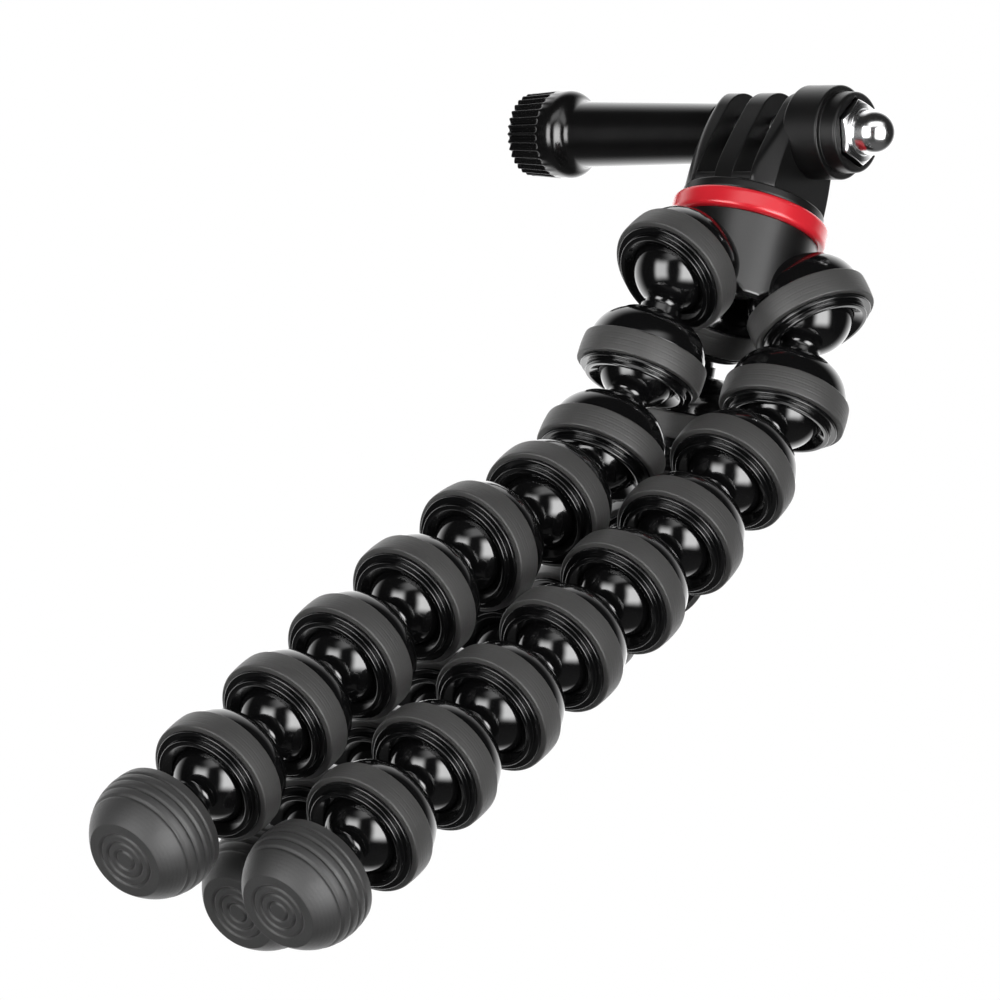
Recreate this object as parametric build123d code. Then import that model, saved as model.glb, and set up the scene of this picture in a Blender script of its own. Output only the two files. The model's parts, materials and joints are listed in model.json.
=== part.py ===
from build123d import *
from math import atan2, cos, degrees, radians, sin, sqrt
import os

# Flexible leg tripod with a three-finger camera mount, in millimetres.
# Origin: centre of the clamp screw's bore. +X runs along the clamp screw from
# its knob to its nut, +Z up the head's axis, -Y is the side the camera faces.
# The legs are posed as in the photograph, bent and gathered below the head.

# Ball joints, the same in every link of the three legs
ball_radius = 5.8
ball_play = 0.1          # gap between a ball and its socket
socket_wall = 1.5        # wall of a socket at the ball's equator
mouth_depth = 2.25       # narrowest part of the mouth, past the ball's centre
mouth_flare = 1.05       # how much wider the mouth gets at the rim's front

# Neck between a ball and the socket behind it
neck_radius = 2.5
neck_length = 0.2        # from the ball's pole to the collar
collar_radius = 2.9
collar_length = 1.4
shoulder_radius = 4.2
dome_depth = 5.3         # from the shoulder to the grip ring
dome_bulge_share = 0.16  # of the dome's run

# Rubber grip ring in its groove, and the rims that hold it
ring_thickness = 1.4
ring_width = 3.6
ring_setback = 1.9       # rear edge, behind the ball's centre
ring_round = 0.45
ring_fit = 0.02
dome_step = 0.8          # dome's edge above the groove's floor
lip_step = 0.6
lip_width = 0.6
rim_step = 0.3           # rim's front part below the groove's floor
rim_width = 0.8

# Foot at the end of each leg
foot_length = 20.0       # last ball's centre to the foot's flat tip
foot_neck_length = 3.0   # end of the shoulder cone
foot_stem_radius = 5.2
foot_stem_tip_gap = 2.4  # rubber under the stem
foot_radius = 8.2
foot_heel_radius = 6.6
foot_tip_radius = 5.4
foot_bulge_height = 9.0  # widest part, above the tip
foot_heel_share = 0.08   # bulge, of the run above the widest part
foot_tip_share = 0.14
foot_fit = 0.02

# Hub under the head, with three sockets
hub_radius = 10.0
hub_height = 11.4
hub_splay = 36           # each socket's tilt from straight down, in degrees
hub_turn = -8            # hub's turn about the head's axis, in degrees
socket_offset = 11.5     # socket centres from the head's axis
socket_depth = 10.1      # socket centres below the hub's top
hub_gap = 0.5            # free space round the hub's grip rings

# Red ring and the camera mount above it
red_ring_radius = 10.9
red_ring_height = 2.9
red_ring_round = 0.7
spigot_radius = 6.5
spigot_fit = 0.05
spigot_depth = 2.2       # into the hub
flange_radius = 9.9
flange_thickness = 1.5
flange_round = 0.5
mount_height = 10.7      # bore centre above the flange
finger_radius = 6.4      # round tops, about the bore
finger_width = 3.0
slot_width = 3.0
finger_count = 3
flank_width = 1.0        # how far the fingers' feet stand out past their tops
flank_height = 5.0       # from where the flanks turn upright to the bore
crown_foot_radius = 9.8  # turned outline that trims the outer fingers
crown_top_radius = 7.3
crown_share = 0.042      # its bulge, of its run
root_height = 1.4        # solid part below the slots
nut_boss_radius = 6.8
nut_boss_length = 4.2
nut_boss_round = 0.6

# Screw between the hub and the mount
hub_screw_radius = 2.0
hub_screw_fit = 0.1
hub_screw_length = 9.6
hub_screw_head_radius = 3.0
hub_screw_head_height = 2.4
hub_screw_web = 4.0      # hub material over the screw's head
hub_screw_socket = 3.0   # across the flats of the key's socket

# Clamp screw, its knob and its nut
bolt_radius = 2.5
bolt_fit = 0.1
bolt_head_end = 36.0     # end inside the knob, from the bore centre
nut_flats = 8.0
nut_height = 4.0
nut_dome_radius = 3.15
nut_length = 11.1
nut_recess = 2.6         # how deep the nut sits in its boss
nut_fit = 0.1
nut_wall = 2.6           # metal over the bolt's end
knob_gap = 0.3           # between the knob and the outer finger
knob_length = 33.4
knob_neck_radius = 4.2
knob_barrel_radius = 4.6
knob_cap_radius = 6.15
knob_cap_end_radius = 5.8
knob_cap_length = 12.5   # shoulder, band and ribs
knob_shoulder_length = 3.8
knob_band_length = 2.8   # smooth band before the ribs
knob_fit = 0.03
knob_ribs = 32
knob_rib_depth = 0.35
knob_end_round = 0.9

overrun = 1.0            # how far a cut runs past what it cuts

# Tilts of the pieces of each leg, from the hub to the foot, in degrees: first
# from straight down towards -Y, then towards +X.
leg_tilts = {
    "front": [(4, -4), (15, -1), (40, 2), (46, -5), (40, -3), (38, -3), (38, -3), (38, -3), (38, -3)],
    "right": [(8, 3), (31, -1), (33, 0), (38, -1), (38, -3), (38, -3), (38, -3), (38, -3), (38, -3)],
    "back": [(-18, -9), (9, 11), (43, 21), (34, -11), (50, 0), (38, -3), (38, -3), (38, -3), (38, -3)],
}

# Worked out from the sizes above
socket_radius = ball_radius + ball_play
groove_radius = socket_radius + socket_wall
ring_radius = groove_radius + ring_thickness
ring_front = ring_width - ring_setback
lip_front = ring_front + lip_width
rim_front = lip_front + rim_width
mouth_radius = sqrt(socket_radius**2 - mouth_depth**2)
collar_start = ball_radius + neck_length
shoulder_start = collar_start + collar_length
joint_pitch = shoulder_start + dome_depth + ring_setback

flange_top = -mount_height
flange_bottom = flange_top - flange_thickness
hub_top = flange_bottom - red_ring_height
socket_height = hub_top - socket_depth
mount_width = finger_count * finger_width + (finger_count - 1) * slot_width
block_half = finger_radius + flank_width
flank_radius = (block_half**2 + flank_height**2 - finger_radius**2) / (2 * (block_half - finger_radius))
flank_turn = atan2(flank_height, flank_radius - block_half)  # where a flank meets the round top
bolt_bore_radius = bolt_radius + bolt_fit
nut_seat = mount_width / 2 + nut_boss_length - nut_recess
bolt_end = nut_seat + nut_length - nut_wall


def revolved(points_to_face):
    """Turns a half outline, drawn in X and Z, about the Z axis."""
    with BuildPart() as piece:
        with BuildSketch(Plane.XZ):
            with BuildLine():
                points_to_face()
            make_face()
        revolve(axis=Axis.Z)
    return piece.part


def bulge(start, end, share):
    """Arc to the right of the way from start to end, its sagitta a share of the run."""
    run = sqrt((end[0] - start[0]) ** 2 + (end[1] - start[1]) ** 2)
    return SagittaArc(start, end, -run * share)


def ball_and_neck_outline(base):
    """Half outline from a ball's pole, at base + its radius down, to the shoulder."""
    neck_top = base + sqrt(ball_radius**2 - neck_radius**2)
    ThreePointArc((0, base - ball_radius), (ball_radius, base), (neck_radius, neck_top))
    Polyline(
        (neck_radius, neck_top),
        (neck_radius, base + collar_start),
        (collar_radius, base + collar_start),
        (collar_radius, base + shoulder_start),
        (shoulder_radius, base + shoulder_start),
    )


def dome_outline(back):
    """Half outline from the shoulder over the dome, groove and rims to the mouth."""
    bulge((shoulder_radius, back), (groove_radius + dome_step, -ring_setback), dome_bulge_share)
    Polyline(
        (groove_radius + dome_step, -ring_setback),
        (groove_radius, -ring_setback),
        (groove_radius, ring_front),
        (groove_radius + lip_step, ring_front),
        (groove_radius + lip_step, lip_front),
        (groove_radius - rim_step, lip_front),
        (groove_radius - rim_step, rim_front),
        (mouth_radius + mouth_flare, rim_front),
        (mouth_radius, mouth_depth),
    )


def make_link():
    """One leg link: socket centre at the origin, its own ball a pitch below."""

    def outline():
        ball_and_neck_outline(-joint_pitch)
        dome_outline(-joint_pitch + shoulder_start)
        ThreePointArc((mouth_radius, mouth_depth), (socket_radius, 0), (0, -socket_radius))
        Line((0, -socket_radius), (0, -joint_pitch - ball_radius))

    return revolved(outline)


def make_socket_shell():
    """Filled socket body of the hub, with the dome, groove and rims of a link."""
    back = -joint_pitch + shoulder_start

    def outline():
        Line((0, back), (shoulder_radius, back))
        dome_outline(back)
        Polyline((mouth_radius, mouth_depth), (0, mouth_depth), (0, back))

    return revolved(outline)


def make_socket_hollow():
    """Space for a ball, open through the mouth."""
    ball_space = Sphere(socket_radius)
    mouth = Pos(0, 0, mouth_depth) * Cylinder(
        mouth_radius, rim_front - mouth_depth + overrun, align=(Align.CENTER, Align.CENTER, Align.MIN)
    )
    return ball_space + mouth


def make_grip_ring():
    """Rubber band in the groove round a socket."""
    with BuildPart() as ring:
        with BuildSketch(Plane.XZ):
            with Locations((groove_radius + ring_fit, -ring_setback)):
                Rectangle(ring_thickness - ring_fit, ring_width, align=Align.MIN)
        revolve(axis=Axis.Z)
        outer = ring.faces().filter_by(GeomType.CYLINDER).sort_by(SortBy.AREA)[-1]
        fillet(outer.edges().filter_by(GeomType.CIRCLE), ring_round)
    return ring.part


def make_foot_stem():
    """Last ball with the stem that the rubber foot is moulded on."""
    stem_start = shoulder_start + foot_neck_length
    stem_end = foot_length - foot_stem_tip_gap

    def outline():
        ball_and_neck_outline(0)
        Polyline(
            (shoulder_radius, shoulder_start),
            (foot_stem_radius, stem_start),
            (foot_stem_radius, stem_end),
            (0, stem_end),
            (0, -ball_radius),
        )

    return revolved(outline)


def make_foot_pad():
    """Rubber foot with a flat tip, closed round the stem."""
    heel = shoulder_start + foot_neck_length
    inner = foot_stem_radius + foot_fit
    pocket = foot_length - foot_stem_tip_gap + foot_fit
    widest = foot_length - foot_bulge_height

    def outline():
        Line((inner, heel), (foot_heel_radius, heel))
        bulge((foot_heel_radius, heel), (foot_radius, widest), foot_heel_share)
        bulge((foot_radius, widest), (foot_tip_radius, foot_length), foot_tip_share)
        Polyline((foot_tip_radius, foot_length), (0, foot_length), (0, pocket), (inner, pocket), (inner, heel))

    return revolved(outline)


def tilt_direction(lean, side):
    """Unit vector that far from straight down, towards -Y and then +X."""
    lean, side = radians(lean), radians(side)
    return Vector(sin(side), -sin(lean) * cos(side), -cos(lean) * cos(side))


def socket_frame(leg):
    """Where the hub holds a leg: the socket's centre, and Z out of its mouth."""
    order = list(leg_tilts).index(leg)
    turn = radians(order * 360 / len(leg_tilts) + hub_turn)
    out = Vector(sin(turn), -cos(turn), 0)
    splay = radians(hub_splay)
    centre = out * socket_offset + Vector(0, 0, socket_height)
    return Plane(origin=centre, z_dir=out * sin(splay) - Vector(0, 0, cos(splay)))


def leg_frames(leg):
    """Frames at the ball joints of a leg, from the hub's socket to the last link's."""
    frames = [socket_frame(leg)]
    for lean, side in leg_tilts[leg]:
        direction = tilt_direction(lean, side)
        frames.append(Plane(origin=frames[-1].origin + direction * joint_pitch, z_dir=direction))
    return frames


def make_hub():
    """Body under the red ring: a drum cut clear round three sockets."""
    hub = Pos(0, 0, hub_top) * Cylinder(
        hub_radius, hub_height, align=(Align.CENTER, Align.CENTER, Align.MAX)
    )
    room = Pos(0, 0, -ring_setback - hub_gap) * Cylinder(
        ring_radius + hub_gap, hub_height + socket_offset, align=(Align.CENTER, Align.CENTER, Align.MIN)
    )
    shell, hollow = make_socket_shell(), make_socket_hollow()
    places = [socket_frame(leg).location for leg in leg_tilts]
    for place in places:
        hub -= place * room
    for place in places:
        hub += place * shell
    for place in places:
        hub -= place * hollow
    hub -= Pos(0, 0, hub_top + overrun) * Cylinder(
        spigot_radius + spigot_fit, spigot_depth + overrun, align=(Align.CENTER, Align.CENTER, Align.MAX)
    )
    seat = hub_top - spigot_depth - hub_screw_web
    hub -= Pos(0, 0, seat) * Cylinder(
        hub_screw_head_radius + hub_screw_fit,
        hub_height + overrun,
        align=(Align.CENTER, Align.CENTER, Align.MAX),
    )
    hub -= Pos(0, 0, hub_top) * Cylinder(
        hub_screw_radius + hub_screw_fit,
        spigot_depth + hub_screw_web + overrun,
        align=(Align.CENTER, Align.CENTER, Align.MAX),
    )
    return hub


def make_hub_screw():
    """Socket head screw that pulls the mount down on the hub."""
    seat = hub_top - spigot_depth - hub_screw_web
    head = Pos(0, 0, seat) * Cylinder(
        hub_screw_head_radius, hub_screw_head_height, align=(Align.CENTER, Align.CENTER, Align.MAX)
    )
    shank = Pos(0, 0, seat) * Cylinder(
        hub_screw_radius, hub_screw_length, align=(Align.CENTER, Align.CENTER, Align.MIN)
    )
    key = Pos(0, 0, seat - hub_screw_head_height) * extrude(
        RegularPolygon(hub_screw_socket / 2, 6, major_radius=False), hub_screw_head_height / 2
    )
    return head + shank - key


def make_red_ring():
    """Coloured ring clamped between the hub and the mount's flange."""
    with BuildPart() as ring:
        with Locations((0, 0, hub_top)):
            Cylinder(red_ring_radius, red_ring_height, align=(Align.CENTER, Align.CENTER, Align.MIN))
        fillet(ring.edges(), red_ring_round)
        with Locations((0, 0, hub_top)):
            Cylinder(
                spigot_radius + spigot_fit,
                red_ring_height,
                align=(Align.CENTER, Align.CENTER, Align.MIN),
                mode=Mode.SUBTRACT,
            )
    return ring.part


def make_finger_block():
    """Block that the fingers are slotted from, its sides trimmed to a turned outline."""
    meet = Vector(finger_radius * cos(flank_turn), finger_radius * sin(flank_turn))
    with BuildPart() as block:
        with BuildSketch(Plane.YZ.offset(-mount_width / 2)):
            with BuildLine():
                ThreePointArc((-meet.X, meet.Y), (0, finger_radius), (meet.X, meet.Y))
                for side in (-1, 1):
                    TangentArc((side * block_half, -flank_height), (side * meet.X, meet.Y), tangent=(0, 1))
                Polyline(
                    (block_half, -flank_height),
                    (block_half, flange_top),
                    (-block_half, flange_top),
                    (-block_half, -flank_height),
                )
            make_face()
        extrude(amount=mount_width)

    def crown():
        bulge((crown_foot_radius, flange_top), (crown_top_radius, finger_radius), crown_share)
        Polyline(
            (crown_top_radius, finger_radius),
            (0, finger_radius),
            (0, flange_top),
            (crown_foot_radius, flange_top),
        )

    return block.part & revolved(crown)


def make_flange():
    """Round flange on the red ring, with the spigot that centres it in the hub."""
    with BuildPart() as flange:
        with Locations((0, 0, flange_bottom)):
            Cylinder(flange_radius, flange_thickness, align=(Align.CENTER, Align.CENTER, Align.MIN))
        fillet(flange.edges().filter_by(GeomType.CIRCLE).group_by(Axis.Z)[0], flange_round)
        with Locations((0, 0, flange_bottom)):
            Cylinder(
                spigot_radius,
                red_ring_height + spigot_depth,
                align=(Align.CENTER, Align.CENTER, Align.MAX),
            )
    return flange.part


def make_nut_boss():
    """Round boss outside the +X finger, starting inside the finger's width."""
    with BuildPart() as boss:
        with BuildSketch(Plane.YZ.offset((mount_width - finger_width) / 2)):
            Circle(nut_boss_radius)
        extrude(amount=nut_boss_length + finger_width / 2)
        fillet(boss.faces().sort_by(Axis.X)[-1].edges(), nut_boss_round)
    return boss.part


def make_camera_mount():
    """Three fingers on a round flange, with the nut's boss on the +X one."""
    body = make_finger_block() + make_flange() + make_nut_boss()
    slot = Box(
        slot_width,
        block_half * 4,
        finger_radius + overrun - flange_top - root_height,
        align=(Align.CENTER, Align.CENTER, Align.MIN),
    )
    for step in (-1, 1):
        body -= Pos(step * (finger_width + slot_width) / 2, 0, flange_top + root_height) * slot
    bore = Plane.YZ.location * Cylinder(bolt_bore_radius, (mount_width + nut_boss_length) * 2)
    recess = Plane.YZ.offset(nut_seat - nut_fit).location * extrude(
        RegularPolygon(nut_flats / 2 + nut_fit, 6, major_radius=False), nut_boss_length + overrun
    )
    thread_depth = hub_screw_length - hub_screw_web + hub_screw_fit
    thread = Pos(0, 0, hub_top - spigot_depth) * Cylinder(
        hub_screw_radius + hub_screw_fit, thread_depth, align=(Align.CENTER, Align.CENTER, Align.MIN)
    )
    return body - bore - recess - thread


def make_clamp_nut():
    """Domed hex nut, blind over the bolt's end."""
    hexagon = extrude(RegularPolygon(nut_flats / 2, 6, major_radius=False), nut_height)
    dome_base = nut_length - nut_dome_radius
    barrel = Cylinder(nut_dome_radius, dome_base, align=(Align.CENTER, Align.CENTER, Align.MIN))
    dome = Pos(0, 0, dome_base) * Sphere(nut_dome_radius)
    bore = Cylinder(
        bolt_bore_radius, nut_length - nut_wall + bolt_fit, align=(Align.CENTER, Align.CENTER, Align.MIN)
    )
    return Plane.YZ.offset(nut_seat).location * (hexagon + barrel + dome - bore)


def make_clamp_bolt():
    """Plain steel shank through the fingers, from inside the knob to the nut."""
    length = bolt_head_end + bolt_end
    return Plane.YZ.offset(-bolt_head_end).location * Cylinder(
        bolt_radius, length, align=(Align.CENTER, Align.CENTER, Align.MIN)
    )


def make_knob_body():
    """Knob's solid shape, turned about Z: barrel, shoulder, smooth band and cap."""
    start = mount_width / 2 + knob_gap
    cap = start + knob_length - knob_cap_length
    band = cap + knob_shoulder_length
    middle = ((knob_barrel_radius + knob_cap_radius) / 2, (cap + band) / 2)
    end = start + knob_length

    def outline():
        Polyline((0, start), (knob_neck_radius, start), (knob_barrel_radius, cap))
        TangentArc((knob_barrel_radius, cap), middle, tangent=(0, 1))
        TangentArc((knob_cap_radius, band), middle, tangent=(0, -1))
        Polyline(
            (knob_cap_radius, band),
            (knob_cap_radius, band + knob_band_length),
            (knob_cap_end_radius, end - knob_end_round),
        )
        TangentArc(
            (knob_cap_end_radius - knob_end_round, end),
            (knob_cap_end_radius, end - knob_end_round),
            tangent=(1, 0),
        )
        Polyline((knob_cap_end_radius - knob_end_round, end), (0, end), (0, start))

    return revolved(outline)


def make_clamp_knob():
    """Long turning knob with a ribbed cap, bored for the clamp bolt."""
    start = mount_width / 2 + knob_gap
    end = start + knob_length
    ribs = end - knob_cap_length + knob_shoulder_length + knob_band_length
    taper = atan2(knob_cap_radius - knob_cap_end_radius, end - knob_end_round - ribs)
    knob = make_knob_body()
    flute = Pos(knob_cap_radius, 0, ribs) * Rot(0, -degrees(taper), 0) * Cylinder(
        knob_rib_depth, end - ribs + overrun, align=(Align.CENTER, Align.CENTER, Align.MIN)
    )
    for count in range(knob_ribs):
        knob -= Rot(0, 0, count * 360 / knob_ribs) * flute
    socket = Pos(0, 0, start - overrun) * Cylinder(
        bolt_radius + knob_fit, bolt_head_end - start + overrun, align=(Align.CENTER, Align.CENTER, Align.MIN)
    )
    return Plane.YZ.location * Rot(0, 180, 0) * (knob - socket)


def write_piece(name, shape):
    """Writes one sub-part; several alike solids share one file."""
    solids = [solid for solid in shape.solids()]
    export_step(solids[0] if len(solids) == 1 else Compound(children=solids), f"parts/{name}.step")
    print(name, len(solids), round(sum(solid.volume for solid in solids), 1))


def write_leg(leg):
    """Writes a leg's links, grip rings and foot at their places."""
    frames = leg_frames(leg)
    link, ring = make_link(), make_grip_ring()
    for number, frame in enumerate(frames[1:-1], 1):
        write_piece(f"{leg}_leg_link_{number}", frame.location * link)
        write_piece(f"{leg}_leg_grip_ring_{number}", frame.location * ring)
    place = Plane(origin=frames[-2].origin, z_dir=frames[-1].z_dir).location
    foot = Compound(children=[place * make_foot_stem(), place * make_foot_pad()])
    write_piece(f"{leg}_leg_foot", foot)


def main():
    os.makedirs("parts", exist_ok=True)
    write_piece("hub", make_hub())
    rings = [socket_frame(leg).location * make_grip_ring() for leg in leg_tilts]
    write_piece("hub_grip_rings", Compound(children=rings))
    write_piece("hub_screw", make_hub_screw())
    write_piece("red_ring", make_red_ring())
    write_piece("camera_mount", make_camera_mount())
    write_piece("clamp_nut", make_clamp_nut())
    write_piece("clamp_bolt", make_clamp_bolt())
    write_piece("clamp_knob", make_clamp_knob())
    for leg in leg_tilts:
        write_leg(leg)


main()
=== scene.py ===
import json
import bpy
import numpy as np
from mathutils import Matrix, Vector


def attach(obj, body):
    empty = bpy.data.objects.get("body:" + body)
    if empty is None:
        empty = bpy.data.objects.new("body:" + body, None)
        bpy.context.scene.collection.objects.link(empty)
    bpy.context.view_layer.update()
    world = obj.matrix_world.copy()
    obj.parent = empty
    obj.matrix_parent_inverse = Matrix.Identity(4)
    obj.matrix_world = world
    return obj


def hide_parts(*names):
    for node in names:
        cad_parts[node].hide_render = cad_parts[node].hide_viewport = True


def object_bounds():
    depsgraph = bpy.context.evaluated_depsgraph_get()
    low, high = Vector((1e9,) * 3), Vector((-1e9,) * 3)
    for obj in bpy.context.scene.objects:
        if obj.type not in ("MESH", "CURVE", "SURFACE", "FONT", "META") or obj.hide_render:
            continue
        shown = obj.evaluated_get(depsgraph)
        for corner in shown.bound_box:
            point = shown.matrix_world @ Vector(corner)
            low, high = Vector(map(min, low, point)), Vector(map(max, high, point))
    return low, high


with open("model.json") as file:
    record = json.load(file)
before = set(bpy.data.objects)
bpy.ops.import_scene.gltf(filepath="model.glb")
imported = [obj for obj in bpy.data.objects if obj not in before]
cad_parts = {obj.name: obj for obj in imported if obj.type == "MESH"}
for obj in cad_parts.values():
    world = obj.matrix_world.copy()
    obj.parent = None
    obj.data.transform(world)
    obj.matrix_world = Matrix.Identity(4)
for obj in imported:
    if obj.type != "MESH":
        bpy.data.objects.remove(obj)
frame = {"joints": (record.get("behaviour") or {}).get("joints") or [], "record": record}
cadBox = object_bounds()

# Flexible leg tripod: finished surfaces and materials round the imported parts.
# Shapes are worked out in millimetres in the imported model's frame, +Z up the
# head, +X along the clamp screw to its nut, and scaled to metres as they are made.
mm = 0.001
joints = {entry["name"]: entry for entry in frame["joints"]}
mounts = {entry["name"]: entry for entry in frame["record"]["mounts"]}
legs = ("front", "right", "back")
linkCount = 8


class Wire:
    # wraps one socket of a node tree; arithmetic on wires adds Math nodes
    def __init__(self, tree, socket=None):
        self.tree, self.socket = tree, socket

    def node(self, kind, settings=None, inputs=None, output=0):
        # settings are set first, then each input gets its value or its link
        made = self.tree.nodes.new(kind)
        for key, value in (settings or {}).items():
            if key == "stops":
                ramp = made.color_ramp
                while len(ramp.elements) < len(value):
                    ramp.elements.new(0.5)
                for element, (position, colour) in zip(ramp.elements, value):
                    element.position, element.color = position, (*colour, 1)
            else:
                setattr(made, key, value)
        for key, value in (inputs or {}).items():
            if isinstance(value, Wire):
                self.tree.links.new(value.socket, made.inputs[key])
            else:
                made.inputs[key].default_value = value
        return Wire(self.tree, made.outputs[output] if len(made.outputs) else None)

    def math(self, operation, first, second):
        return self.node("ShaderNodeMath", {"operation": operation}, {0: first, 1: second})

    def __add__(self, other):
        return self.math("ADD", self, other)

    def __radd__(self, other):
        return self.math("ADD", other, self)

    def __sub__(self, other):
        return self.math("SUBTRACT", self, other)

    def __rsub__(self, other):
        return self.math("SUBTRACT", other, self)

    def __mul__(self, other):
        return self.math("MULTIPLY", self, other)

    def __rmul__(self, other):
        return self.math("MULTIPLY", other, self)

    def __pow__(self, other):
        return self.math("POWER", self, other)

    def noise(self, scale, detail=3, stretch=(1, 1, 1)):
        # cloud noise from 0 to 1 on object coordinates; scale counts per metre
        place = self.node("ShaderNodeTexCoord", output="Object")
        spread = self.node("ShaderNodeMapping", inputs={"Vector": place, "Scale": stretch})
        return self.node("ShaderNodeTexNoise", inputs={"Vector": spread, "Scale": scale, "Detail": detail})

    def blend(self, share, first, second):
        # mixes two colours by a share from 0 to 1
        return self.node(
            "ShaderNodeMix", {"data_type": "RGBA"}, {"Factor": share, 6: (*first, 1), 7: (*second, 1)}, output=2
        )

    def bump(self, height, distance, strength=1.0):
        # height is in units of distance, in metres
        return self.node("ShaderNodeBump", inputs={"Height": height, "Distance": distance, "Strength": strength})


def startFinish(name):
    # an empty material and the wire that its nodes are made with
    material = bpy.data.materials.new(name)
    material.use_nodes = True
    material.node_tree.nodes.clear()
    return material, Wire(material.node_tree)


def closeFinish(wire, inputs):
    # the shader of the finish, with its fixed values and its wires
    shader = wire.node("ShaderNodeBsdfPrincipled", inputs=inputs)
    wire.node("ShaderNodeOutputMaterial", inputs={"Surface": shader})


glossPlastic = {
    "colour": (0.003, 0.003, 0.0032),
    "paler": (0.006, 0.006, 0.0063),
    "roughness": 0.1,
    "roughnessSpread": 0.08,
    "wave": 0.00003,     # height of the moulding's slow waves, in metres
    "cloudScale": 90, "scuffScale": 700, "waveScale": 120,
}


def makeGlossPlastic():
    material, wire = startFinish("glossPlastic")
    cloud = wire.noise(glossPlastic["cloudScale"], 4)
    scuffs = wire.noise(glossPlastic["scuffScale"], 2, (1, 1, 0.25))
    slow = wire.noise(glossPlastic["waveScale"], 1)
    closeFinish(wire, {
        "Base Color": wire.blend(cloud, glossPlastic["colour"], glossPlastic["paler"]),
        "Roughness": glossPlastic["roughness"] + glossPlastic["roughnessSpread"] * (scuffs ** 3.0),
        "Normal": wire.bump(slow, glossPlastic["wave"]),
    })
    return material


satinPlastic = {
    "colour": (0.0035, 0.0035, 0.0037),
    "paler": (0.0065, 0.0063, 0.0063),
    "roughness": 0.36,
    "roughnessSpread": 0.1,
    "shine": 0.22,
    "grain": 0.00002,
    "cloudScale": 140, "grainScale": 4500,
}


def makeSatinPlastic(name, change):
    material, wire = startFinish(name)
    look = {**satinPlastic, **change}
    cloud = wire.noise(look["cloudScale"], 4)
    grain = wire.noise(look["grainScale"], 2)
    closeFinish(wire, {
        "Base Color": wire.blend(cloud, look["colour"], look["paler"]),
        "Roughness": look["roughness"] + look["roughnessSpread"] * (cloud - 0.5),
        "Normal": wire.bump(grain, look["grain"], 0.6),
        "Specular IOR Level": look["shine"],
    })
    return material


gripRubber = {
    "colour": (0.04, 0.0395, 0.039),
    "paler": (0.062, 0.061, 0.06),
    "roughness": 0.55,
    "roughnessSpread": 0.16,
    "linePitch": 0.42,   # of the fine lines round a ring, in millimetres
    "lineDepth": 0.000006,
    "grain": 0.00003,
    "cloudScale": 160, "grainScale": 3000,
}


def makeGripRubber(name, change):
    material, wire = startFinish(name)
    look = {**gripRubber, **change}
    along = wire.node("ShaderNodeAttribute", {"attribute_name": "along"}, output="Fac")
    lines = wire.node("ShaderNodeMath", {"operation": "SINE"}, {0: along * (2 * np.pi / look["linePitch"])})
    cloud = wire.noise(look["cloudScale"], 4)
    grain = wire.noise(look["grainScale"], 3)
    lined = wire.bump(lines * 0.5 + 0.5, look["lineDepth"], 0.7)
    closeFinish(wire, {
        "Base Color": wire.blend(cloud, look["colour"], look["paler"]),
        "Roughness": look["roughness"] + look["roughnessSpread"] * (grain - 0.5),
        "Normal": wire.node("ShaderNodeBump", inputs={
            "Height": grain, "Distance": look["grain"], "Strength": 0.6, "Normal": lined}),
    })
    return material


redPlastic = {
    "colour": (0.82, 0.02, 0.034),
    "paler": (0.88, 0.028, 0.044),
    "roughness": 0.24,
    "shine": 0.5,
    "roughnessSpread": 0.08,
    "grain": 0.000012,
}

metals = {
    "nutChrome": {"colour": (0.74, 0.74, 0.75), "paler": (0.8, 0.8, 0.8), "roughness": 0.15, "lineDepth": 0.0},
    "boltSteel": {"colour": (0.5, 0.5, 0.51), "paler": (0.6, 0.6, 0.6), "roughness": 0.28, "lineDepth": 0.000006},
}
turningPitch = 0.11      # of the tool's marks on turned steel, in millimetres
metalCloudScale = 300


def makeMetal(name):
    look = metals[name]
    material, wire = startFinish(name)
    along = wire.node("ShaderNodeAttribute", {"attribute_name": "along"}, output="Fac")
    lines = wire.node("ShaderNodeMath", {"operation": "SINE"}, {0: along * (2 * np.pi / turningPitch)})
    cloud = wire.noise(metalCloudScale, 3)
    closeFinish(wire, {
        "Metallic": 1.0,
        "Base Color": wire.blend(cloud, look["colour"], look["paler"]),
        "Roughness": look["roughness"] + 0.08 * (cloud ** 2.0),
        "Normal": wire.bump(lines, look["lineDepth"], 0.5),
    })
    return material


finishes = {
    "gloss": makeGlossPlastic(),
    "satin": makeSatinPlastic("satinPlastic", {}),
    "hub": makeSatinPlastic("hubPlastic", {"roughness": 0.3, "shine": 0.65}),
    "knob": makeSatinPlastic("knobPlastic", {"roughness": 0.17, "shine": 0.45, "grain": 0.000012}),
    "red": makeSatinPlastic("redPlastic", redPlastic),
    "rubber": makeGripRubber("gripRubber", {}),
    "foot": makeGripRubber("footRubber", {"colour": (0.02, 0.02, 0.0205), "paler": (0.035, 0.0345, 0.034)}),
    "chrome": makeMetal("nutChrome"),
    "steel": makeMetal("boltSteel"),
}
print("finishes made:", len(finishes))


def unit(vector):
    return vector / np.linalg.norm(vector)


def placeAlong(centre, direction):
    # a place's centre and its three axes, the third along the direction
    third = unit(np.array(direction, float))
    first = unit(np.cross(third, (0.31, 0.52, 0.79)))
    return np.array(centre, float), first, np.cross(third, first), third


def arc(centre, radius, start, end, count):
    # points at equal angles on a circle in (r, z), with no round of their own
    angle = np.radians(np.linspace(start, end, count))
    return np.stack([radius * np.cos(angle), centre + radius * np.sin(angle), 0 * angle], 1)


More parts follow.
